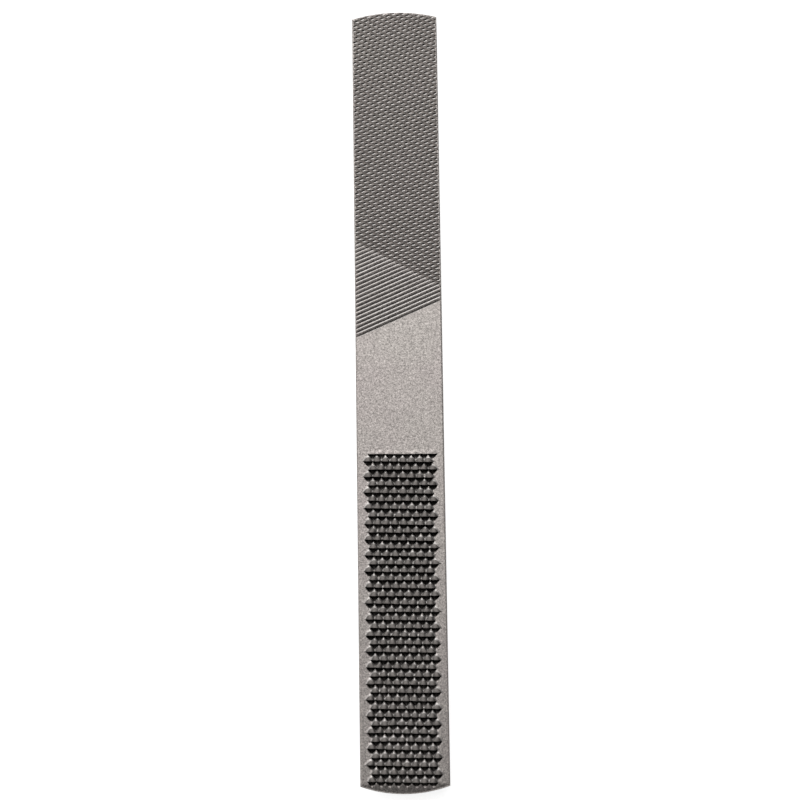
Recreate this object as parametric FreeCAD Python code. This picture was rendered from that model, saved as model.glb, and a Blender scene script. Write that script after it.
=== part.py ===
import FreeCAD, Part
import math
import os

# An eight-inch rasp and file in one bar of steel: a flat face and a half-round back, both cut as a
# file at one end and as a rasp at the other, with a smooth grip between them and no handle.
# X is across, +Y runs to the end whose flat face is filed, +Z is up through the flat face.
# The origin is under the middle of the box, at the lowest tooth tips of the back.

# Driving dimensions, in millimetres and degrees.
LENGTH = 202.6  # between the highest points of the two curved ends
WIDTH = 22.3
BACK_RADIUS = 14.4  # of the half-round back, to the corners of its facets
BACK_FACETS = 11  # narrow flats that make up the back, each 0.05 mm inside the round
FILE_END_RADIUS = 41.0  # in plan, of the end whose flat face is filed
RASP_END_RADIUS = 33.5  # in plan, of the end whose flat face is rasped
EDGE_CHAMFER = 0.35  # along both long edges of the flat face
END_CHAMFER = 0.3  # along the curved edges of the file end
RASP_END_BEVEL_LENGTH = 2.3
RASP_END_BEVEL_DROP = 0.55
CUT_DEPTH = 1.1  # thickness of the flat face's cut layer, and height of the bar's side lands
SKIN_DEPTH = 1.2  # thickness of the back's cut layer

TOOTH_PITCH = 2.175  # from tooth to tooth in a row of the rasp
ROW_PITCH = 2.0
ROWS = 42
FIRST_ROW = 16.52  # from mid-length to the cutting faces of the first row
ROW_SLOPE = 1.5  # how far the rows turn from square
FACE_TEETH = 8  # in a row of the flat face
BACK_TEETH = 10  # in a row of the back
TOOTH_WIDTH = 2.0
TOOTH_RISE = 0.65
TOOTH_LENGTH = 1.5
PIT_DEPTH = 0.55
PIT_LENGTH = 2.3
RASP_LIMIT = 14.7  # from mid-length to the start of the rasp's cut layer

OVERCUT_ANGLE = 23.0  # of the file's first cuts, which rise towards +X
OVERCUT_PITCH = 1.024
OVERCUT_DEPTH = 0.45
OVERCUT_START = 18.75  # where the first of them crosses the middle line
UPCUT_ANGLE = -29.3  # of the file's second cuts, which fall towards +X
UPCUT_PITCH = 1.282
UPCUT_DEPTH = 0.36
UPCUT_START = 33.9
CREST_WIDTH = 0.08  # left standing between two cuts
FACE_SEAM = 0.3  # from the first cut to the edge of the flat face's cut layer
BACK_SEAM = 1.5

# Heights that follow from them.
BACK_LOW = TOOTH_RISE
BACK_HALF_ANGLE = math.asin(WIDTH / 2 / BACK_RADIUS)
FACET_ANGLE = 2 * BACK_HALF_ANGLE / BACK_FACETS
FACET_WIDTH = 2 * BACK_RADIUS * math.sin(FACET_ANGLE / 2)
FACET_REACH = BACK_RADIUS * math.cos(FACET_ANGLE / 2)  # from the axis to the middle of a facet
BACK_AXIS = BACK_LOW + FACET_REACH
LAND_LOW = BACK_AXIS - BACK_RADIUS * math.cos(BACK_HALF_ANGLE)
FLAT_TOP = LAND_LOW + CUT_DEPTH  # the bar is 6.34 thick, without the raised teeth
CLEAR = 60.0  # past the outside of the bar, for cutting shapes

V = FreeCAD.Vector


def on_face(u, v, h):
    """A point of the flat face: u across, v towards the file end, h above the surface."""
    return V(u, v, FLAT_TOP + h)


def on_back(u, v, h):
    """The same on the facets of the back, which is laid out like the face turned over end for end."""
    facet = max(-(BACK_FACETS // 2), min(BACK_FACETS // 2, round(u / FACET_WIDTH)))
    angle = facet * FACET_ANGLE
    along = u - facet * FACET_WIDTH
    reach = FACET_REACH + h
    x = reach * math.sin(angle) + along * math.cos(angle)
    z = BACK_AXIS - reach * math.cos(angle) + along * math.sin(angle)
    return V(x, -v, z)


def flat_polygon(points):
    return Part.Face(Part.makePolygon(points + points[:1]))


def solid_of(faces):
    solid = Part.Solid(Part.Shell(faces))
    return solid if solid.Volume > 0 else solid.reversed()


def faceted(points, triangles):
    """A closed solid with flat facets."""
    return solid_of([flat_polygon([points[i] for i in t]) for t in triangles])


def bar():
    """The whole bar before it is cut: half-round section, curved ends, chamfers and bevel."""
    side = WIDTH / 2
    inner = side - EDGE_CHAMFER
    start = -LENGTH / 2 - 1
    left = [V(-side, start, LAND_LOW), V(-side, start, FLAT_TOP - EDGE_CHAMFER), V(-inner, start, FLAT_TOP)]
    right = [V(inner, start, FLAT_TOP), V(side, start, FLAT_TOP - EDGE_CHAMFER), V(side, start, LAND_LOW)]
    back = []
    for corner in range(1, BACK_FACETS):
        angle = BACK_HALF_ANGLE - corner * FACET_ANGLE
        back.append(V(BACK_RADIUS * math.sin(angle), start, BACK_AXIS - BACK_RADIUS * math.cos(angle)))
    section = flat_polygon(left + right + back)
    body = section.extrude(V(0, LENGTH + 2, 0)).common(plan_prism())
    body = body.makeChamfer(END_CHAMFER, [e for e in body.Edges if is_file_end_edge(e)])
    return body.cut(end_bevel())


def plan_prism():
    """The outline seen from above, with both ends curved outwards."""
    side = WIDTH / 2
    file_sag = FILE_END_RADIUS - math.sqrt(FILE_END_RADIUS**2 - side**2)
    rasp_sag = RASP_END_RADIUS - math.sqrt(RASP_END_RADIUS**2 - side**2)
    far, near = LENGTH / 2, -LENGTH / 2
    low = -1.0
    corners = [
        V(-side, near + rasp_sag, low),
        V(side, near + rasp_sag, low),
        V(side, far - file_sag, low),
        V(-side, far - file_sag, low),
    ]
    edges = [
        Part.Arc(corners[0], V(0, near, low), corners[1]).toShape(),
        Part.LineSegment(corners[1], corners[2]).toShape(),
        Part.Arc(corners[2], V(0, far, low), corners[3]).toShape(),
        Part.LineSegment(corners[3], corners[0]).toShape(),
    ]
    return Part.Face(Part.Wire(edges)).extrude(V(0, 0, FLAT_TOP + 2))


def is_file_end_edge(edge):
    """True for the curved edge between the flat face and the file end."""
    box = edge.BoundBox
    return box.YMin > LENGTH / 2 - 5 and box.ZMin > FLAT_TOP - 0.01 and box.XLength > WIDTH / 2


def end_bevel():
    """A wedge that takes the flat face down gently towards the rasp end."""
    end = -LENGTH / 2
    slope = RASP_END_BEVEL_DROP / RASP_END_BEVEL_LENGTH
    beyond = 2.0
    wedge = [
        V(-WIDTH, end + RASP_END_BEVEL_LENGTH, FLAT_TOP),
        V(-WIDTH, end - beyond, FLAT_TOP - RASP_END_BEVEL_DROP - slope * beyond),
        V(-WIDTH, end - beyond, FLAT_TOP + 1),
        V(-WIDTH, end + RASP_END_BEVEL_LENGTH, FLAT_TOP + 1),
    ]
    return flat_polygon(wedge).extrude(V(2 * WIDTH, 0, 0))


def file_limit(seam, turn):
    """Plan of everything beyond the first overcut; turn is 1 on the face and -1 on the back."""
    slope = math.tan(math.radians(OVERCUT_ANGLE))
    start = OVERCUT_START - seam
    return [
        V(-WIDTH, turn * (start - slope * WIDTH), 0),
        V(WIDTH, turn * (start + slope * WIDTH), 0),
        V(WIDTH, turn * LENGTH, 0),
        V(-WIDTH, turn * LENGTH, 0),
    ]


def rasp_limit(turn):
    """Plan of everything beyond the start of the rasp."""
    return [
        V(-WIDTH, -turn * RASP_LIMIT, 0),
        V(WIDTH, -turn * RASP_LIMIT, 0),
        V(WIDTH, -turn * LENGTH, 0),
        V(-WIDTH, -turn * LENGTH, 0),
    ]


def face_zone(plan):
    """The cut layer of the flat face over a plan."""
    zone = flat_polygon(plan).extrude(V(0, 0, CLEAR))
    zone.translate(V(0, 0, LAND_LOW))
    return zone


def back_zone(plan):
    """The cut layer of the half-round back over a plan."""
    below = flat_polygon(plan).extrude(V(0, 0, LAND_LOW + CLEAR))
    below.translate(V(0, 0, -CLEAR))
    axis = V(0, -LENGTH, BACK_AXIS)
    return below.cut(Part.makeCylinder(BACK_RADIUS - SKIN_DEPTH, 2 * LENGTH, axis, V(0, 1, 0)))


def tooth(place, u, v):
    """A raised rasp tooth whose cutting face stands at v and looks towards the rasp end."""
    half = TOOTH_WIDTH / 2
    sunk = -0.25
    corner, shoulder, tip = 0.28, 0.3, 0.22
    points = [
        place(u - half, v + corner, sunk),
        place(u, v + 0.05, sunk),
        place(u + half, v + corner, sunk),
        place(u, v + TOOTH_LENGTH, sunk),
        place(u - 0.55 * half, v + shoulder, 0.65 * TOOTH_RISE),
        place(u, v + tip, TOOTH_RISE),
        place(u + 0.55 * half, v + shoulder, 0.65 * TOOTH_RISE),
    ]
    front = [(0, 1, 4), (1, 5, 4), (1, 6, 5), (1, 2, 6)]
    sides = [(0, 4, 3), (4, 5, 3), (5, 6, 3), (6, 2, 3)]
    return faceted(points, front + sides + [(0, 3, 1), (1, 3, 2)])


def pit(place, u, v):
    """The pit that the punch leaves in front of a tooth: deep at the tooth, running out to a point."""
    half = TOOTH_WIDTH / 2
    above = 0.2
    points = [
        place(u - half, v, above),
        place(u + half, v, above),
        place(u - 0.62 * half, v, -PIT_DEPTH),
        place(u + 0.62 * half, v, -PIT_DEPTH),
        place(u, v - PIT_LENGTH, 0.05),
    ]
    return faceted(points, [(0, 1, 3), (0, 3, 2), (0, 2, 4), (2, 3, 4), (3, 1, 4), (1, 0, 4)])


def rasp_places(count):
    """Where the teeth of a rasp stand: rows of count teeth, every other row moved half a pitch."""
    slope = math.tan(math.radians(ROW_SLOPE))
    places = []
    for row in range(ROWS):
        shift = 0.25 if row % 2 == 0 else -0.25
        for i in range(count):
            u = (i - (count - 1) / 2 + shift) * TOOTH_PITCH
            places.append((u, -FIRST_ROW - row * ROW_PITCH - slope * u))
    return places


def rasped(layer, place, count):
    """A cut layer with its pits punched and its teeth raised."""
    places = rasp_places(count)
    layer = layer.cut([pit(place, u, v) for u, v in places])
    return layer.fuse([tooth(place, u, v) for u, v in places])


def groove(place, stations, angle, start, pitch, depth):
    """One chisel cut across a file: a steep wall towards the rasp end, a long slope towards the file end.

    It follows v = start + u tan(angle) and bends at the stations, each stroke a wedge of triangular section.
    """
    run = math.tan(math.radians(angle))
    wide = pitch / math.cos(math.radians(angle))
    crest = CREST_WIDTH / math.cos(math.radians(angle))
    over = 0.15
    rings = []
    for u in stations:
        v = start + run * u
        rings.append([
            place(u, v + crest / 2, over),
            place(u, v + 0.25 * wide, -depth),
            place(u, v + wide - crest / 2, over),
        ])
    faces = [flat_polygon(rings[0]), flat_polygon(rings[-1])]
    for near, far in zip(rings, rings[1:]):
        for a in range(3):
            b = (a + 1) % 3
            faces.append(flat_polygon([near[a], near[b], far[b]]))
            faces.append(flat_polygon([near[a], far[b], far[a]]))
    return solid_of(faces)


def grooves(place, stations, angle, start, pitch, depth):
    """All the parallel cuts from the first one to the end of the bar."""
    wide = pitch / math.cos(math.radians(angle))
    reach = LENGTH / 2 + stations[-1] * abs(math.tan(math.radians(angle)))
    count = math.ceil((reach - start) / wide)
    return [groove(place, stations, angle, start + i * wide, pitch, depth) for i in range(count)]


def filed(layer, place, stations):
    """A cut layer with the overcut and then the upcut across it."""
    over = (OVERCUT_ANGLE, OVERCUT_START, OVERCUT_PITCH, OVERCUT_DEPTH)
    up = (UPCUT_ANGLE, UPCUT_START, UPCUT_PITCH, UPCUT_DEPTH)
    for angle, start, pitch, depth in (over, up):
        layer = layer.cut(grooves(place, stations, angle, start, pitch, depth))
    return layer


def back_stations():
    """Where a cut bends on its way round the back: at the facets' corners, and just past both sides."""
    half = BACK_FACETS / 2 * FACET_WIDTH
    corners = [-half + i * FACET_WIDTH for i in range(1, BACK_FACETS)]
    return [-half - 1, *corners, half + 1]


def main():
    whole = bar()
    zones = {
        "flat_file_teeth": face_zone(file_limit(FACE_SEAM, 1)),
        "flat_rasp_teeth": face_zone(rasp_limit(1)),
        "round_file_teeth": back_zone(file_limit(BACK_SEAM, -1)),
        "round_rasp_teeth": back_zone(rasp_limit(-1)),
    }
    layers = {name: whole.common(zone) for name, zone in zones.items()}
    nodes = {"steel_bar": whole.cut(list(zones.values()))}
    across = WIDTH / 2 + 1
    nodes["flat_file_teeth"] = filed(layers["flat_file_teeth"], on_face, [-across, across])
    nodes["flat_rasp_teeth"] = rasped(layers["flat_rasp_teeth"], on_face, FACE_TEETH)
    nodes["round_file_teeth"] = filed(layers["round_file_teeth"], on_back, back_stations())
    nodes["round_rasp_teeth"] = rasped(layers["round_rasp_teeth"], on_back, BACK_TEETH)
    os.makedirs("parts", exist_ok=True)
    for name, shape in nodes.items():
        shape.exportStep(f"parts/{name}.step")


main()
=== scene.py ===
import math

import bpy
import numpy as np
from mathutils import Matrix, Vector


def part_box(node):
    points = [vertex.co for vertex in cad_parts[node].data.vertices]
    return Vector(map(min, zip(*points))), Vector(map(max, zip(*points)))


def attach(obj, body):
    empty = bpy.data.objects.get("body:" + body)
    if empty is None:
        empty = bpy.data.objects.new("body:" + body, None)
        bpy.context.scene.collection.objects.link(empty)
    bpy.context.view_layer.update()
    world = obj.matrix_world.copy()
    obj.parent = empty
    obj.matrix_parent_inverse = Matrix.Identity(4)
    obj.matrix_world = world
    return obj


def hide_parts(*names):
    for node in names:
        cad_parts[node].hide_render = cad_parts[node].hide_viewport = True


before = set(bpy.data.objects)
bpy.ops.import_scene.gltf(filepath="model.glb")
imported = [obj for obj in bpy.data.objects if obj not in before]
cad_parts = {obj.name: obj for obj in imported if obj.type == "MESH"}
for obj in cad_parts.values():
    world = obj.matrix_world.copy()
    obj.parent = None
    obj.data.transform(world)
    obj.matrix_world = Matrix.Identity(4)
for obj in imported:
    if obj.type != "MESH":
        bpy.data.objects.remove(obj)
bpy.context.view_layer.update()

# A flat and half-round rasp and file in one bar of steel. Shapes are worked out in millimetres in the
# frame's axes: X across, +Y towards the end whose flat face is filed, +Z up through the flat face.
MM = 0.001

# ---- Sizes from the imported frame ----
bar_low, bar_high = (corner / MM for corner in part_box("steel_bar"))
WIDTH = bar_high.x - bar_low.x
LENGTH = bar_high.y - bar_low.y
FLAT_TOP = bar_high.z
BACK_LOW = bar_low.z
LAND_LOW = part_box("flat_file_teeth")[0].z / MM
TOOTH_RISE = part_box("flat_rasp_teeth")[1].z / MM - FLAT_TOP
BACK_SAG = LAND_LOW - BACK_LOW
BACK_RADIUS = (WIDTH / 2) ** 2 / (2 * BACK_SAG) + BACK_SAG / 2
BACK_AXIS = BACK_LOW + BACK_RADIUS
BACK_HALF_ARC = BACK_RADIUS * math.asin(WIDTH / 2 / BACK_RADIUS)

# ---- The bar's own details, as in the CAD model ----
FILE_END_RADIUS = 41.0
RASP_END_RADIUS = 33.5
EDGE_CHAMFER = 0.35
END_CHAMFER = 0.3
BEVEL_LENGTH = 2.3
BEVEL_DROP = 0.55
SKIN_DEPTH = 1.2
RASP_LIMIT = 14.7
FACE_SEAM = 0.3
BACK_SEAM = 1.5
OVERCUT_START = 18.75

# ---- The rasp's teeth ----
TOOTH_PITCH = 2.175
ROW_PITCH = 2.0
ROWS = 42
FIRST_ROW = 16.52
ROW_SLOPES = (math.radians(1.0), math.radians(2.0))  # of even and odd rows
FACE_TEETH = 8
BACK_TEETH = 10
TOOTH_HALF = 1.6
TOOTH_LENGTH = 1.62
FRONT_CURVE = 0.10
FRONT_LEAN = 0.05
PIT_HALF = 1.28
PIT_LENGTH = 1.35
PIT_DEPTH = 0.6

# ---- The file's cuts ----
OVERCUT = {"angle": math.radians(23.0), "pitch": 1.024, "depth": 0.20, "start": 18.38}
UPCUT = {"angle": math.radians(-29.3), "pitch": 1.282, "depth": 0.15, "start": 33.03}
# One cut from crest to crest: how deep it is, a steep face towards the file end, a gullet and a long back.
OVERCUT_PROFILE = [
    (0.0, 0.0), (0.04, 0.08), (0.13, 0.50), (0.22, 0.90), (0.27, 1.0),
    (0.32, 0.93), (0.40, 0.64), (0.50, 0.48), (0.62, 0.36), (0.90, 0.08),
]
UPCUT_PROFILE = [
    (0.0, 0.0), (0.1, 0.2), (0.2, 0.55), (0.3, 0.85), (0.42, 1.0),
    (0.55, 0.84), (0.68, 0.58), (0.82, 0.32), (0.93, 0.1),
]
# How much painted highlight and shade the steel has from crest to crest: a painted highlight on an overcut's
# steep face, painted shade in its gullet and on its back. For each: across an overcut, across an upcut, and
# without upcuts.
FILE_SHADES = {
    "face_highlight": (
        [(0.0, 1.0), (0.20, 1.0), (0.26, 0.0), (0.94, 0.0), (0.98, 0.8)],
        [(0.0, 1.0), (0.12, 0.9), (0.22, 0.0), (0.76, 0.0), (0.86, 1.0)],
        1.0,
    ),
    "dark": (
        [(0.0, 0.0), (0.16, 0.0), (0.22, 1.0), (0.56, 1.0), (0.66, 0.3), (0.76, 0.0)],
        [(0.0, 1.0), (0.08, 1.1), (0.36, 1.1), (0.50, 0.5), (0.62, 0.0), (0.84, 0.0)],
        0.35,
    ),
    "cut_shade": (
        [(0.0, 1.0), (0.40, 0.8), (0.62, 0.7), (0.76, 0.9), (0.96, 0.9)],
        [(0.0, 0.2), (0.10, 0.3), (0.22, 0.75), (0.42, 0.8), (0.56, 1.05), (0.76, 1.05), (0.84, 0.4)],
        0.45,
    ),
}
# The upcut closes the overcuts again between these shares of its full depth, by this much.
CLOSING = (0.32, 0.75)
CLOSED_SHARE = 0.9

# ---- Colours of the steel, as its metal reflects, and of its painted highlights and shade ----
BLASTED = ((0.535, 0.485, 0.465), (0.55, 0.51, 0.48))
# Painted highlight on the steep faces of file teeth.
STEEP_FACE_HIGHLIGHT = (0.98, 0.96, 0.94)
# Painted highlight on the tails of rasp teeth.
TAIL_HIGHLIGHT = (0.95, 0.92, 0.89)
# Painted shade in file gullets and on the steep faces of rasp teeth; painted shade and some scale in the
# rasp's pits.
SOOT_AND_SHADE = (0.03, 0.027, 0.025)
# These two darken what they cover, as painted shade: the tops of rasp teeth and the backs of file teeth.
TOP_SHADE = (0.16, 0.15, 0.145)
CUT_SHADE = (0.20, 0.188, 0.18)

# ---- Heights on rasp teeth, from and to, for painted highlight and shade ----
TAIL_HEIGHTS = (0.02, 0.10)
TOP_SHADE_HEIGHTS = (0.13, 0.34)
PIT_HEIGHTS = (-0.28, -0.04)

SHARP = math.radians(34)
BAR_SHARP = math.radians(15)

rng = np.random.default_rng(11)


# ---- Solids ----


def mesh_of(name, points, faces):
    """A Blender mesh from points in millimetres."""
    mesh = bpy.data.meshes.new(name)
    mesh.from_pydata((np.asarray(points) * MM).tolist(), [], [list(f) for f in faces])
    mesh.update()
    return mesh


def linked(name, mesh):
    obj = bpy.data.objects.new(name, mesh)
    bpy.context.scene.collection.objects.link(obj)
    return obj


def thick_sheet(points, quads, depth):
    """A closed solid between a sheet of quads, wound to face up, and its flat shadow at -depth."""
    count = len(points)
    below = points.copy()
    below[:, 2] = -depth
    edges = np.concatenate([quads[:, [k, (k + 1) % 4]] for k in range(4)])
    key = np.sort(edges, axis=1)
    key = key[:, 0] * count + key[:, 1]
    _, first, times = np.unique(key, return_index=True, return_counts=True)
    rim = edges[first[times == 1]]
    walls = np.column_stack([rim[:, 1], rim[:, 0], rim[:, 0] + count, rim[:, 1] + count])
    faces = np.concatenate([quads, quads[:, ::-1] + count, walls])
    used, compact = np.unique(faces, return_inverse=True)
    return np.concatenate([points, below])[used], compact.reshape(faces.shape)


def grid_quads(rows, columns):
    """Quads of a grid whose rows go towards -v and whose columns go towards +u, facing up."""
    i, j = np.meshgrid(np.arange(rows - 1), np.arange(columns - 1), indexing="ij")
    a = (i * columns + j).ravel()
    return np.column_stack([a, a + columns, a + columns + 1, a + 1])


def prism(levels):
    """A closed solid whose outline goes through levels of (height, points wound to face up)."""
    size = len(levels[0][1])
    points = [(x, y, z) for z, outline in levels for x, y in outline]
    faces = [tuple(range(size))[::-1], tuple(range(len(points) - size, len(points)))]
    for level in range(len(levels) - 1):
        for a in range(size):
            b = (a + 1) % size
            low = level * size
            faces.append((low + a, low + b, low + size + b, low + size + a))
    return np.array(points), faces


def shared_volume(name, solid, window, operation="INTERSECT"):
    """The part of one closed solid inside another, or outside it, as points in millimetres and faces."""
    shapes = {name + "_solid": solid, name + "_window": window}
    objects = [linked(key, mesh_of(key, *shape)) for key, shape in shapes.items()]
    cut = objects[0].modifiers.new("cut", "BOOLEAN")
    cut.operation = operation
    cut.solver = "MANIFOLD"
    cut.object = objects[1]
    graph = bpy.context.evaluated_depsgraph_get()
    mesh = bpy.data.meshes.new_from_object(objects[0].evaluated_get(graph))
    points = np.zeros(len(mesh.vertices) * 3)
    mesh.vertices.foreach_get("co", points)
    faces = [tuple(face.vertices) for face in mesh.polygons]
    for obj in objects:
        data = obj.data
        bpy.data.objects.remove(obj)
        bpy.data.meshes.remove(data)
    bpy.data.meshes.remove(mesh)
    return points.reshape(-1, 3) / MM, faces


def along_y(section, near, far):
    """A closed solid of one section in x and z, from y = near(x) to y = far(x)."""
    size = len(section)
    points = [(x, near(x), z) for x, z in section] + [(x, far(x), z) for x, z in section]
    faces = [tuple(range(size)), tuple(range(size, 2 * size))[::-1]]
    for a in range(size):
        b = (a + 1) % size
        faces.append((a, a + size, b + size, b))
    turned = section[1:] + section[:1]
    area = sum(x * next_z - z * next_x for (x, z), (next_x, next_z) in zip(section, turned))
    return np.array(points), faces if area > 0 else [face[::-1] for face in faces]


# ---- Where a cut layer ends ----


def end_outline(turn, start, slope, radius, side_inset=0.0, end_inset=0.0):
    """Plan of one end of the bar, from the line y = turn (start + slope x) to the curved end.

    turn is 1 for the end at +Y and -1 for the end at -Y.
    """
    side = WIDTH / 2 - side_inset
    centre = LENGTH / 2 - radius
    reach = radius - end_inset
    arc = math.asin(side / reach)
    steps = 32
    points = [(-side, start - turn * slope * side), (side, start + turn * slope * side)]
    for i in range(steps + 1):
        angle = arc * (1 - 2 * i / steps)
        points.append((reach * math.sin(angle), centre + reach * math.cos(angle)))
    points = [(x, turn * y) for x, y in points]
    return points if turn > 0 else points[::-1]


FILE_SLOPE = math.tan(OVERCUT["angle"])


def face_file_window():
    start = OVERCUT_START - FACE_SEAM
    shapes = [
        (LAND_LOW - FLAT_TOP, 0.0, 0.0),
        (-EDGE_CHAMFER, 0.0, 0.0),
        (0.0, EDGE_CHAMFER, END_CHAMFER),
        (1.0, EDGE_CHAMFER + 0.6, END_CHAMFER + 0.6),
    ]
    return prism([(z, end_outline(1, start, FILE_SLOPE, FILE_END_RADIUS, a, e)) for z, a, e in shapes])


def face_rasp_window():
    rounding = 0.25
    shapes = [
        (LAND_LOW - FLAT_TOP, 0.0, 0.0),
        (-BEVEL_DROP - rounding, 0.0, 0.0),
        (-BEVEL_DROP, 0.0, rounding),
        (-EDGE_CHAMFER, 0.0, rounding + 0.05),
        (0.0, EDGE_CHAMFER, rounding + 0.1),
        (1.0, EDGE_CHAMFER + 0.6, rounding + 0.4),
    ]
    return prism([(z, end_outline(-1, RASP_LIMIT, 0.0, RASP_END_RADIUS, a, e)) for z, a, e in shapes])


def back_windows():
    """The plans of the back's two layers, below the side lands."""
    start = OVERCUT_START - BACK_SEAM
    filed = end_outline(-1, start, -FILE_SLOPE, RASP_END_RADIUS)
    rasped = end_outline(1, RASP_LIMIT, 0.0, FILE_END_RADIUS)
    return [prism([(-1.0, plan), (LAND_LOW, plan)]) for plan in (filed, rasped)]


def skin_window(v_near, v_far):
    """A slab of the back's cut layer laid out flat, in strips narrow enough to bend."""
    half = BACK_HALF_ARC + 0.25
    strips = 48
    u = np.linspace(-half, half, strips + 1)
    v = np.linspace(v_far, v_near, 13)
    grid = np.array([(a, b, 1.0) for b in v for a in u])
    points, faces = thick_sheet(grid, grid_quads(len(v), len(u)), SKIN_DEPTH)
    return points, faces.tolist()


def bent(points):
    """Takes a flat layout of the back round to its place under the bar, turned over end for end."""
    angle = points[:, 0] / BACK_RADIUS
    reach = BACK_RADIUS + points[:, 2]
    return np.column_stack([reach * np.sin(angle), -points[:, 1], BACK_AXIS - reach * np.cos(angle)])


def laid_on_face(points):
    return points + np.array([0.0, 0.0, FLAT_TOP])


# ---- Rasp teeth ----


class Punched:
    """Rows of rasp teeth: each row's tooth centres and how far each tooth strays from the pattern."""

    def __init__(self, count):
        row = np.arange(ROWS)[:, None]
        shift = np.where(row % 2 == 0, 0.25, -0.25)
        shape = (ROWS, count)
        self.u = (np.arange(count) - (count - 1) / 2 + shift) * TOOTH_PITCH + rng.normal(0, 0.035, shape)
        slope = np.where(row % 2 == 0, *np.tan(ROW_SLOPES))
        self.v = -FIRST_ROW - row * ROW_PITCH - slope * self.u + rng.normal(0, 0.03, shape)
        self.rise = TOOTH_RISE * (1 - np.abs(rng.normal(0, 0.08, shape))).clip(0.7, 1)
        self.half = TOOTH_HALF * rng.normal(1, 0.03, shape)
        self.length = TOOTH_LENGTH * rng.normal(1, 0.03, shape)
        self.rise[0] *= 0.4
        self.length[0] *= 0.7
        self.lean = rng.normal(0, 0.12, shape)
        self.depth = PIT_DEPTH * rng.normal(1, 0.07, shape)
        self.pit_length = PIT_LENGTH * rng.normal(1, 0.04, shape)

    def across(self, row, u):
        """Distances from every tooth's centre, by teeth and columns."""
        return u[None, :] - self.u[row][:, None]

    def base(self, row, u):
        """The most forward line of a row's cutting faces."""
        return np.interp(u, self.u[row], self.v[row])

    def front(self, row, u):
        """The curved line of a row's cutting faces."""
        nearest = np.abs(self.across(row, u)).min(axis=0)
        return self.base(row, u) + FRONT_CURVE * np.minimum(nearest / PIT_HALF, 1.0) ** 2

    def tooth(self, row, u, v):
        """Height of a row's raised teeth at and behind their cutting faces."""
        x = self.across(row, u)
        back = np.clip((v - self.base(row, u))[None, :] / self.length[row][:, None], 0, 1)
        half = self.half[row][:, None] * (1 - back) ** 0.6 + 1e-6
        side = np.clip(np.abs(x / half + self.lean[row][:, None] * (1 - back)), 0, 1)
        rise = self.rise[row][:, None] * (1 - back**1.9)
        return (rise * (1 - side**2.2)).max(axis=0)

    def pit(self, row, u, v):
        """Depth of the pits in front of a row's teeth."""
        x = self.across(row, u)
        run = np.clip((self.base(row, u) - v)[None, :] / self.pit_length[row][:, None], 0, 1)
        half = PIT_HALF * (1 - run) ** 0.9 + 1e-6
        side = np.clip((1 - np.abs(x) / half) * 2.2, 0, 1)
        side = side * side * (3 - 2 * side)
        return (self.depth[row][:, None] * (1 - run) ** 0.85 * side).max(axis=0)


def bevelled(v):
    """Height of the uncut surface, which falls away gently towards the rasp end."""
    past = np.clip(-v - (LENGTH / 2 - BEVEL_LENGTH), 0, None)
    return -BEVEL_DROP / BEVEL_LENGTH * past


def rasp_sheet(half_span, columns, count, bevel):
    """A rasp laid out flat: a grid with a line of points along every cutting edge and its foot."""
    teeth = Punched(count)
    u = np.linspace(-half_span, half_span, columns)
    steps = [0.06, 0.16, 0.30, 0.45, 0.58, 0.70, 0.80, 0.89, 0.96, 1.0]
    lines = [(np.full(columns, -RASP_LIMIT + 1.0), np.zeros(columns))]
    foot = np.full(columns, -RASP_LIMIT)
    lines.append((foot, np.zeros(columns)))
    uncut = bevelled if bevel else np.zeros_like
    for row in range(ROWS):
        tip = teeth.front(row, u) + FRONT_LEAN
        for t in steps:
            v = foot + (tip - foot) * t
            pits = np.zeros(columns)
            for earlier in (row - 1, row - 2):
                if earlier >= 0:
                    pits = np.maximum(pits, teeth.pit(earlier, u, v))
            lines.append((v, np.minimum(uncut(v), -pits) + teeth.tooth(row, u, v)))
        foot = tip - FRONT_LEAN
        pits = teeth.pit(row, u, foot)
        if row > 0:
            pits = np.maximum(pits, teeth.pit(row - 1, u, foot))
        lines.append((foot, np.minimum(uncut(foot), -pits)))
    end = -LENGTH / 2 - 1.5
    for t in np.linspace(0, 1, 14)[1:]:
        v = foot + (end - foot) * t
        pits = np.maximum(teeth.pit(ROWS - 1, u, v), teeth.pit(ROWS - 2, u, v))
        lines.append((v, np.minimum(uncut(v), -pits)))
    points = np.concatenate([np.column_stack([u, v, h]) for v, h in lines])
    return points, grid_quads(len(lines), columns)


# ---- File teeth ----


def cut_phases(profile, first, last):
    """Where to sample lines first to last of a cut, counted in pitches, and how deep the profile is."""
    phase = np.array([p for p, _ in profile])
    depth = np.array([d for _, d in profile])
    lines = np.arange(first, last)
    places = (lines[:, None] + phase[None, :]).ravel()
    depths = np.tile(depth, len(lines))
    return np.append(places, last), np.append(depths, 0.0)


def closing(depth):
    """How far the upcut closes the overcuts where it has this share of its full depth."""
    return np.clip((depth - CLOSING[0]) / (CLOSING[1] - CLOSING[0]), 0, 1)


def across_cut(cut, profile, u, v, before):
    """Values from crest to crest of a cut at places of the layout, and the value before its first crest."""
    line = (v - cut["start"] - math.tan(cut["angle"]) * u) * math.cos(cut["angle"]) / cut["pitch"]
    values = np.interp(line % 1, *np.transpose(profile + [(1.0, profile[0][1])]))
    return np.where(line > 0, values, before)


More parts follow.
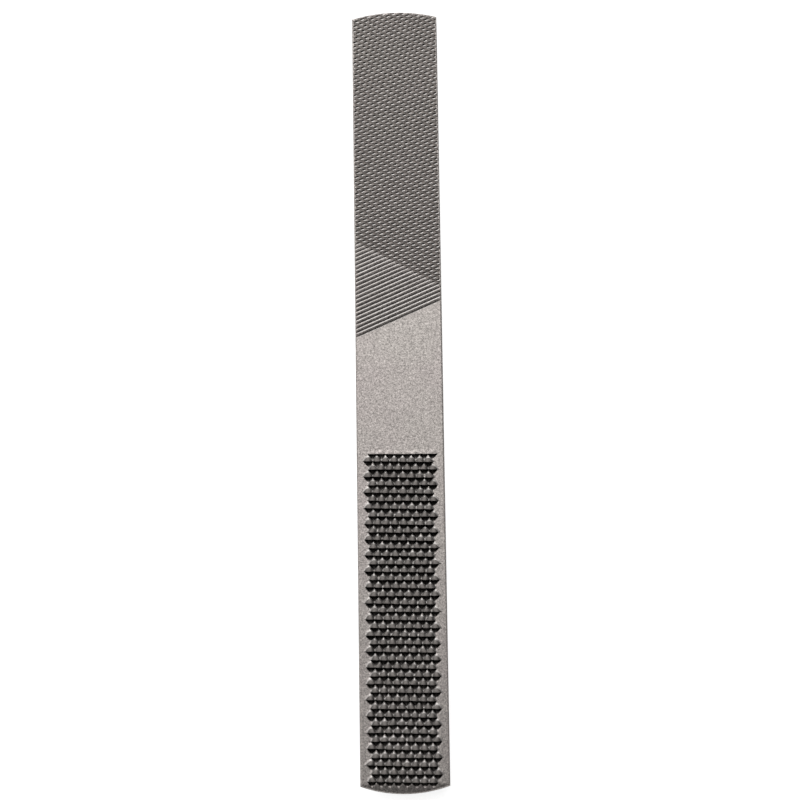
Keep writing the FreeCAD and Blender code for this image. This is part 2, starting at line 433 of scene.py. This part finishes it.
def file_sheet(half_span, v_far):
    """A double-cut file laid out flat, on a skewed grid that follows both sets of cuts."""
    slopes = [math.tan(cut["angle"]) for cut in (OVERCUT, UPCUT)]
    wide = [cut["pitch"] / math.cos(cut["angle"]) for cut in (OVERCUT, UPCUT)]
    spread = [abs(slope) * half_span for slope in slopes]
    last = [int((v_far + s - cut["start"]) / w) + 3 for s, cut, w in zip(spread, (OVERCUT, UPCUT), wide)]
    over_at, over_depth = cut_phases(OVERCUT_PROFILE, 0, last[0])
    up_at, up_depth = cut_phases(UPCUT_PROFILE, 0, last[1])
    # Uncut margins: before the first overcut and before the first upcut.
    over_at, over_depth = np.append([-3.0, -1.0], over_at), np.append([0.0, 0.0], over_depth)
    margin = np.arange(-24.0, 0.0)
    up_at, up_depth = np.append(margin, up_at), np.append(np.zeros(len(margin)), up_depth)
    depths, shifts = [], []
    for at, depth, cut, top in ((over_at, over_depth, OVERCUT, last[0]), (up_at, up_depth, UPCUT, last[1])):
        line = np.arange(-30, top + 2)
        strike = rng.normal(1, 0.03, len(line)).clip(0.9, 1.1)
        stray = rng.normal(0, 0.012, len(line))
        depths.append(depth * cut["depth"] * strike[(np.floor(at) + 30).astype(int)])
        shifts.append(at + np.interp(at, line, stray))
    s, r = np.meshgrid(shifts[0], shifts[1], indexing="ij")
    u = (UPCUT["start"] - OVERCUT["start"] + wide[1] * r - wide[0] * s) / (slopes[0] - slopes[1])
    v = OVERCUT["start"] + slopes[0] * u + wide[0] * s
    h = -depths[0][:, None] * (1 - CLOSED_SHARE * closing(up_depth)[None, :]) - depths[1][None, :]
    points = np.column_stack([u.ravel(), v.ravel(), h.ravel()])
    rows, columns = u.shape
    i, j = np.meshgrid(np.arange(rows - 1), np.arange(columns - 1), indexing="ij")
    a = (i * columns + j).ravel()
    quads = np.column_stack([a, a + 1, a + columns + 1, a + columns])
    corner_u, corner_v = points[quads, 0], points[quads, 1]
    near = OVERCUT["start"] - spread[0] - 4
    keep = (corner_u.max(1) > -half_span) & (corner_u.min(1) < half_span)
    keep &= (corner_v.max(1) > near) & (corner_v.min(1) < v_far)
    return points, quads[keep]


# ---- Materials ----


class Nodes:
    """A small helper that adds and links the nodes of one material."""

    def __init__(self, name):
        self.material = bpy.data.materials.new(name)
        self.material.use_nodes = True
        self.tree = self.material.node_tree
        self.tree.nodes.clear()
        self.output = self.add("ShaderNodeOutputMaterial")
        self.shader = self.add("ShaderNodeBsdfPrincipled")
        self.link(self.shader, "BSDF", self.output, "Surface")

    def add(self, kind, **settings):
        node = self.tree.nodes.new(kind)
        for key, value in settings.items():
            if hasattr(node, key):
                setattr(node, key, value)
            else:
                node.inputs[key.replace("_", " ")].default_value = value
        return node

    def link(self, source, output, target, socket):
        self.tree.links.new(source.outputs[output], target.inputs[socket])

    def attribute(self, name):
        return self.add("ShaderNodeAttribute", attribute_name=name), "Fac"

    def noise(self, vector, scale, detail=3.0, roughness=0.55):
        node = self.add("ShaderNodeTexNoise")
        node.inputs["Scale"].default_value = scale
        node.inputs["Detail"].default_value = detail
        node.inputs["Roughness"].default_value = roughness
        self.link(*vector, node, "Vector")
        return node, "Fac"

    def stretched(self, vector, scale):
        node = self.add("ShaderNodeVectorMath", operation="MULTIPLY")
        self.link(*vector, node, 0)
        node.inputs[1].default_value = scale
        return node, "Vector"

    def remap(self, source, low, high, to_low, to_high):
        node = self.add("ShaderNodeMapRange")
        for socket, value in zip(("From Min", "From Max", "To Min", "To Max"), (low, high, to_low, to_high)):
            node.inputs[socket].default_value = value
        self.link(*source, node, "Value")
        return node, "Result"

    def math(self, operation, a, b):
        node = self.add("ShaderNodeMath", operation=operation)
        for socket, value in ((0, a), (1, b)):
            if isinstance(value, tuple):
                self.link(*value, node, socket)
            else:
                node.inputs[socket].default_value = value
        return node, "Value"

    def mix(self, factor, a, b, blend="MIX"):
        node = self.add("ShaderNodeMix", data_type="RGBA", blend_type=blend)
        if isinstance(factor, tuple):
            self.link(*factor, node, "Factor")
        else:
            node.inputs["Factor"].default_value = factor
        for socket, value in ((6, a), (7, b)):
            if isinstance(value[0], float):
                node.inputs[socket].default_value = (*value, 1.0)
            else:
                self.link(*value, node, socket)
        return node, 2


def rasp_light_and_shade(n, colour, shade_strength):
    """Rasp teeth: painted highlight on the tails, painted shade on the tops and steep faces, painted shade
    and some scale in the pits.
    """
    relief = n.attribute("relief")
    # Painted highlight on the low tails of the teeth.
    colour = n.mix(n.math("MULTIPLY", n.attribute("lit_tail"), 0.75), colour, TAIL_HIGHLIGHT)
    # Painted shade on the high tops of the teeth.
    colour = n.mix(n.remap(relief, *TOP_SHADE_HEIGHTS, 0.0, 0.94), colour, TOP_SHADE, "MULTIPLY")
    # Painted shade on the steep cutting faces, and painted shade with some scale deep in the pits.
    pit_and_face_shade = n.math("MAXIMUM", n.remap(relief, *PIT_HEIGHTS, 0.98, 0.0), n.attribute("scale"))
    return n.mix(n.math("MULTIPLY", pit_and_face_shade, shade_strength), colour, SOOT_AND_SHADE)


def file_light_and_shade(n, colour, shade_strength):
    """File teeth: painted shade on the backs, painted highlight on the steep faces and painted shade in the
    gullets.
    """
    # Painted shade on the backs of the cuts and on the upcuts' slopes away from the light.
    colour = n.mix(n.attribute("cut_shade"), colour, CUT_SHADE, "MULTIPLY")
    # Painted highlight on the steep faces of the overcuts.
    colour = n.mix(n.math("MULTIPLY", n.attribute("face_highlight"), 0.7), colour, STEEP_FACE_HIGHLIGHT)
    # Painted shade in the gullets and on the upcuts' shaded slopes.
    return n.mix(n.math("MULTIPLY", n.attribute("dark"), shade_strength), colour, SOOT_AND_SHADE)


def steel(name, cut):
    """Blasted, hardened steel. cut is "rasp", "file" or None, for steel that isn't cut."""
    n = Nodes(name)
    place = n.add("ShaderNodeTexCoord"), "Object"
    grain = n.noise(place, 2300.0, 4.0, 0.8)
    pores = n.noise(place, 1500.0, 2.0)
    patches = n.noise(place, 70.0, 4.0, 0.6)
    streaks = n.noise(n.stretched(place, (2600.0, 130.0, 2600.0)), 1.0, 3.0)
    tint = n.mix(n.remap(patches, 0.35, 0.65, 0.0, 1.0), *BLASTED)
    mottle = n.noise(place, 1000.0, 2.0)
    speckle = n.remap(grain, 0.34, 0.66, 0.4, 1.46)
    speckle = n.math("MULTIPLY", speckle, n.remap(mottle, 0.35, 0.65, 0.92, 1.08))
    shade = n.math("MULTIPLY", speckle, n.remap(streaks, 0.35, 0.65, 0.97, 1.03))
    grey = n.add("ShaderNodeCombineColor")
    for channel in ("Red", "Green", "Blue"):
        n.link(*shade, grey, channel)
    colour = n.mix(1.0, tint, (grey, "Color"), "MULTIPLY")
    rough = n.remap(pores, 0.3, 0.7, 0.36, 0.50)
    if cut:
        # Cut steel gets painted highlights and shade on top of its own colour.
        light_and_shade = {"rasp": rasp_light_and_shade, "file": file_light_and_shade}[cut]
        colour = light_and_shade(n, colour, n.remap(patches, 0.3, 0.7, 0.9, 1.0))
    if cut == "file":
        rough = n.math("SUBTRACT", rough, 0.08)
    n.link(*colour, n.shader, "Base Color")
    n.link(*rough, n.shader, "Roughness")
    n.shader.inputs["Metallic"].default_value = 1.0
    height = n.math("ADD", n.math("MULTIPLY", grain, 0.7), n.math("MULTIPLY", pores, 0.5))
    bump = n.add("ShaderNodeBump")
    bump.inputs["Strength"].default_value = 0.55
    bump.inputs["Distance"].default_value = 0.00005
    n.link(*height, bump, "Height")
    n.link(bump, "Normal", n.shader, "Normal")
    return n.material


def floor_paint():
    n = Nodes("white_floor")
    place = n.add("ShaderNodeTexCoord"), "Object"
    n.link(*n.mix(n.noise(place, 3.0), (0.90, 0.90, 0.90), (0.92, 0.92, 0.92)), n.shader, "Base Color")
    n.shader.inputs["Roughness"].default_value = 0.9
    n.shader.inputs["Specular IOR Level"].default_value = 0.1
    n.shader.inputs["Emission Color"].default_value = (1.0, 1.0, 1.0, 1.0)
    seen = n.add("ShaderNodeLightPath"), "Is Camera Ray"
    n.link(*n.remap(seen, 0.0, 1.0, 0.25, 0.8), n.shader, "Emission Strength")
    return n.material


# ---- Making the pieces ----


def steep_face_shade(mesh, turn):
    """How much painted shade each face gets: all of it on the steep cutting faces of rasp teeth."""
    values = {}
    for key in ("normal", "center"):
        values[key] = np.zeros(len(mesh.polygons) * 3)
        mesh.polygons.foreach_get(key, values[key])
    steep = np.clip((-turn * values["normal"][1::3] - 0.7) / 0.2, 0, 1)
    return steep * (np.abs(values["center"][1::3]) < (LENGTH / 2 - 2.5) * MM)


def inside_outline(points):
    """1 for points well inside the bar's plan, falling to 0 on its chamfers and outer faces."""
    x, y = points[:, 0], points[:, 1]
    radius = np.where(y > 0, FILE_END_RADIUS, RASP_END_RADIUS)
    past_end = np.hypot(x, np.maximum(np.abs(y) - (LENGTH / 2 - radius), 0)) - radius
    inset = np.minimum(WIDTH / 2 - np.abs(x), -past_end)
    return np.clip((inset - EDGE_CHAMFER - 0.02) / 0.08, 0, 1)


def face_layout(points):
    """Places on the flat face, as in its layout, with heights above the uncut surface."""
    u, v = points[:, 0], points[:, 1]
    return u, v, (points[:, 2] - FLAT_TOP - bevelled(v)) * inside_outline(points)


def back_layout(points):
    """The same for the back."""
    u = BACK_RADIUS * np.arctan2(points[:, 0], BACK_AXIS - points[:, 2])
    height = np.hypot(points[:, 0], points[:, 2] - BACK_AXIS) - BACK_RADIUS
    return u, -points[:, 1], height * (points[:, 2] < LAND_LOW - 0.02) * inside_outline(points)


def finish_piece(name, shape, layout, cut, turn):
    """One cut layer as a piece of the object, with what its material needs to know kept on its mesh."""
    mesh = mesh_of(name, *shape)
    mesh.polygons.foreach_set("use_smooth", np.ones(len(mesh.polygons), bool))
    mesh.set_sharp_from_angle(angle=SHARP)
    u, v, relief = layout(shape[0])
    if cut == "rasp":
        low, high = TAIL_HEIGHTS
        past_first_row = v < -FIRST_ROW - 0.25
        # The low tails get a painted highlight.
        lit_tail = np.clip((relief - low) / (high - low), 0, 1) * past_first_row
        kept = {
            "relief": ("POINT", relief),
            "lit_tail": ("POINT", lit_tail),
            # Painted shade on the steep cutting faces.
            "scale": ("FACE", steep_face_shade(mesh, turn)),
        }
    else:
        kept = {}
        for key, (over, up, alone) in FILE_SHADES.items():
            shade = across_cut(OVERCUT, over, u, v, 0.0) * across_cut(UPCUT, up, u, v, alone)
            kept[key] = "POINT", shade * (relief < 0)
    for key, (domain, values) in kept.items():
        mesh.attributes.new(key, "FLOAT", domain).data.foreach_set("value", values.astype(np.float32))
    mesh.materials.append(steel(name + "_steel", cut))
    piece = linked(name, mesh)
    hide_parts(name)
    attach(piece, "root")


def bar_shape():
    """The bar without its four cut layers: half-round section, curved ends and chamfered long edges."""
    side = WIDTH / 2
    arc = math.asin(side / BACK_RADIUS)
    steps = 72
    round_back = [arc * (1 - 2 * i / steps) for i in range(steps + 1)]
    section = [(BACK_RADIUS * math.sin(a), BACK_AXIS - BACK_RADIUS * math.cos(a)) for a in round_back]
    section += [(-side, FLAT_TOP - EDGE_CHAMFER), (-side + EDGE_CHAMFER, FLAT_TOP)]
    section += [(side - EDGE_CHAMFER, FLAT_TOP), (side, FLAT_TOP - EDGE_CHAMFER)]
    shape = along_y(section, lambda x: -LENGTH, lambda x: LENGTH)
    near = end_outline(-1, 0.0, 0.0, RASP_END_RADIUS)
    far = end_outline(1, 0.0, 0.0, FILE_END_RADIUS)
    outline = far[2:] + near[:-2]
    shape = shared_volume("bar", shape, prism([(-1.0, outline), (FLAT_TOP + 1.0, outline)]))
    reach = BACK_RADIUS - SKIN_DEPTH
    core = math.acos((BACK_AXIS - LAND_LOW) / reach)
    under = [(WIDTH, LAND_LOW), (WIDTH, -WIDTH), (-WIDTH, -WIDTH), (-WIDTH, LAND_LOW)]
    for i in range(steps + 1):
        a = core * (2 * i / steps - 1)
        under.append((reach * math.sin(a), BACK_AXIS - reach * math.cos(a)))
    above = [(-WIDTH, LAND_LOW), (-WIDTH, WIDTH), (WIDTH, WIDTH), (WIDTH, LAND_LOW)]
    seams = (OVERCUT_START - FACE_SEAM, OVERCUT_START - BACK_SEAM)
    past = LENGTH
    layers = [
        along_y(above, lambda x: seams[0] + FILE_SLOPE * x, lambda x: past),
        along_y(above, lambda x: -past, lambda x: -RASP_LIMIT),
        along_y(under, lambda x: -past, lambda x: -seams[1] - FILE_SLOPE * x),
        along_y(under, lambda x: RASP_LIMIT, lambda x: past),
    ]
    for layer in layers:
        shape = shared_volume("bar", shape, layer, "DIFFERENCE")
    return shape


def make_bar():
    points, faces = bar_shape()
    mesh = mesh_of("steel_bar", points, faces)
    mesh.polygons.foreach_set("use_smooth", np.ones(len(mesh.polygons), bool))
    mesh.set_sharp_from_angle(angle=BAR_SHARP)
    mesh.materials.append(steel("bar_steel", None))
    bar = linked("steel_bar", mesh)
    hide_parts("steel_bar")
    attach(bar, "root")


def face_piece(name, sheet, window, cut):
    solid = thick_sheet(*sheet, 3.0)
    points, faces = shared_volume(name, solid, window)
    finish_piece(name, (laid_on_face(points), faces), face_layout, cut, 1)


def back_piece(name, sheet, reach, window, cut):
    solid = thick_sheet(*sheet, 3.0)
    points, faces = shared_volume(name, solid, skin_window(*reach))
    points, faces = shared_volume(name, (bent(points), faces), window)
    finish_piece(name, (points, faces), back_layout, cut, -1)


def make_pieces():
    side = WIDTH / 2 + 0.6
    arc = BACK_HALF_ARC + 0.6
    end = LENGTH / 2 + 1.0
    filed_back, rasped_back = back_windows()
    sheet = file_sheet(side, end)
    face_piece("flat_file_teeth", sheet, face_file_window(), "file")
    sheet = rasp_sheet(side, 168, FACE_TEETH, True)
    face_piece("flat_rasp_teeth", sheet, face_rasp_window(), "rasp")
    near = OVERCUT_START - BACK_SEAM - FILE_SLOPE * arc - 0.5
    sheet = file_sheet(arc, end + 0.3)
    back_piece("round_file_teeth", sheet, (near, end), filed_back, "file")
    sheet = rasp_sheet(arc, 176, BACK_TEETH, False)
    back_piece("round_rasp_teeth", sheet, (-end, -RASP_LIMIT + 0.8), rasped_back, "rasp")
    make_bar()


# ---- Floor, light and camera ----


def make_floor():
    half = 3.0
    corners = [(-half, -half, 0), (half, -half, 0), (half, half, 0), (-half, half, 0)]
    mesh = bpy.data.meshes.new("floor")
    mesh.from_pydata(corners, [], [(0, 1, 2, 3)])
    mesh.materials.append(floor_paint())
    floor = linked("floor", mesh)


def make_light(name, place, target, size, power):
    lamp = bpy.data.lights.new(name, "AREA")
    lamp.shape = "RECTANGLE"
    lamp.size, lamp.size_y = size
    lamp.energy = power
    obj = linked(name, lamp)
    obj.location = place
    obj.rotation_euler = (Vector(target) - Vector(place)).to_track_quat("-Z", "Y").to_euler()
    return obj


def make_camera():
    """The view from above: a little off to the right and to the rasp end, and turned slightly."""
    face = Vector((0.0, 0.18, FLAT_TOP)) * MM
    place = face + Vector((26.27, -88.28, 502.51)) * MM
    target = face + Vector((0.11, -2.72, 0.0)) * MM
    camera = bpy.data.objects.new("camera", bpy.data.cameras.new("camera"))
    bpy.context.scene.collection.objects.link(camera)
    camera.data.sensor_width = 36.0
    camera.data.lens = 90.0
    camera.data.clip_start = 0.01
    look = (target - place).normalized()
    right = look.cross(Vector((0, 1, 0))).normalized()
    up = right.cross(look)
    upright = Matrix((right, up, -look)).transposed()
    roll = Matrix.Rotation(math.radians(0.83), 3, look)
    camera.matrix_world = Matrix.Translation(place) @ (roll @ upright).to_4x4()
    bpy.context.scene.camera = camera


def make_world():
    """A dim studio that looks pale where the camera sees it past the floor."""
    world = bpy.data.worlds.new("studio")
    world.use_nodes = True
    nodes, links = world.node_tree.nodes, world.node_tree.links
    path = nodes.new("ShaderNodeLightPath")
    strength = nodes.new("ShaderNodeMapRange")
    strength.inputs["To Min"].default_value = 0.1
    strength.inputs["To Max"].default_value = 0.95
    links.new(path.outputs["Is Camera Ray"], strength.inputs["Value"])
    links.new(strength.outputs["Result"], nodes["Background"].inputs["Strength"])
    nodes["Background"].inputs["Color"].default_value = (1.0, 1.0, 1.0, 1.0)
    bpy.context.scene.world = world


def make_stage():
    make_floor()
    make_camera()
    make_world()
    make_light("softbox", (-0.12, 0.37, 0.76), (0, 0, 0), (0.9, 0.85), 3.2)
    make_light("far_wall", (-0.1, 1.3, 0.45), (0, 0, 0), (1.8, 0.8), 7.5)
    make_light("left_wall", (-1.3, 0.2, 0.4), (0, 0, 0), (1.6, 0.7), 2.5)
    bpy.context.scene.view_settings.view_transform = "Standard"


make_pieces()
make_stage()
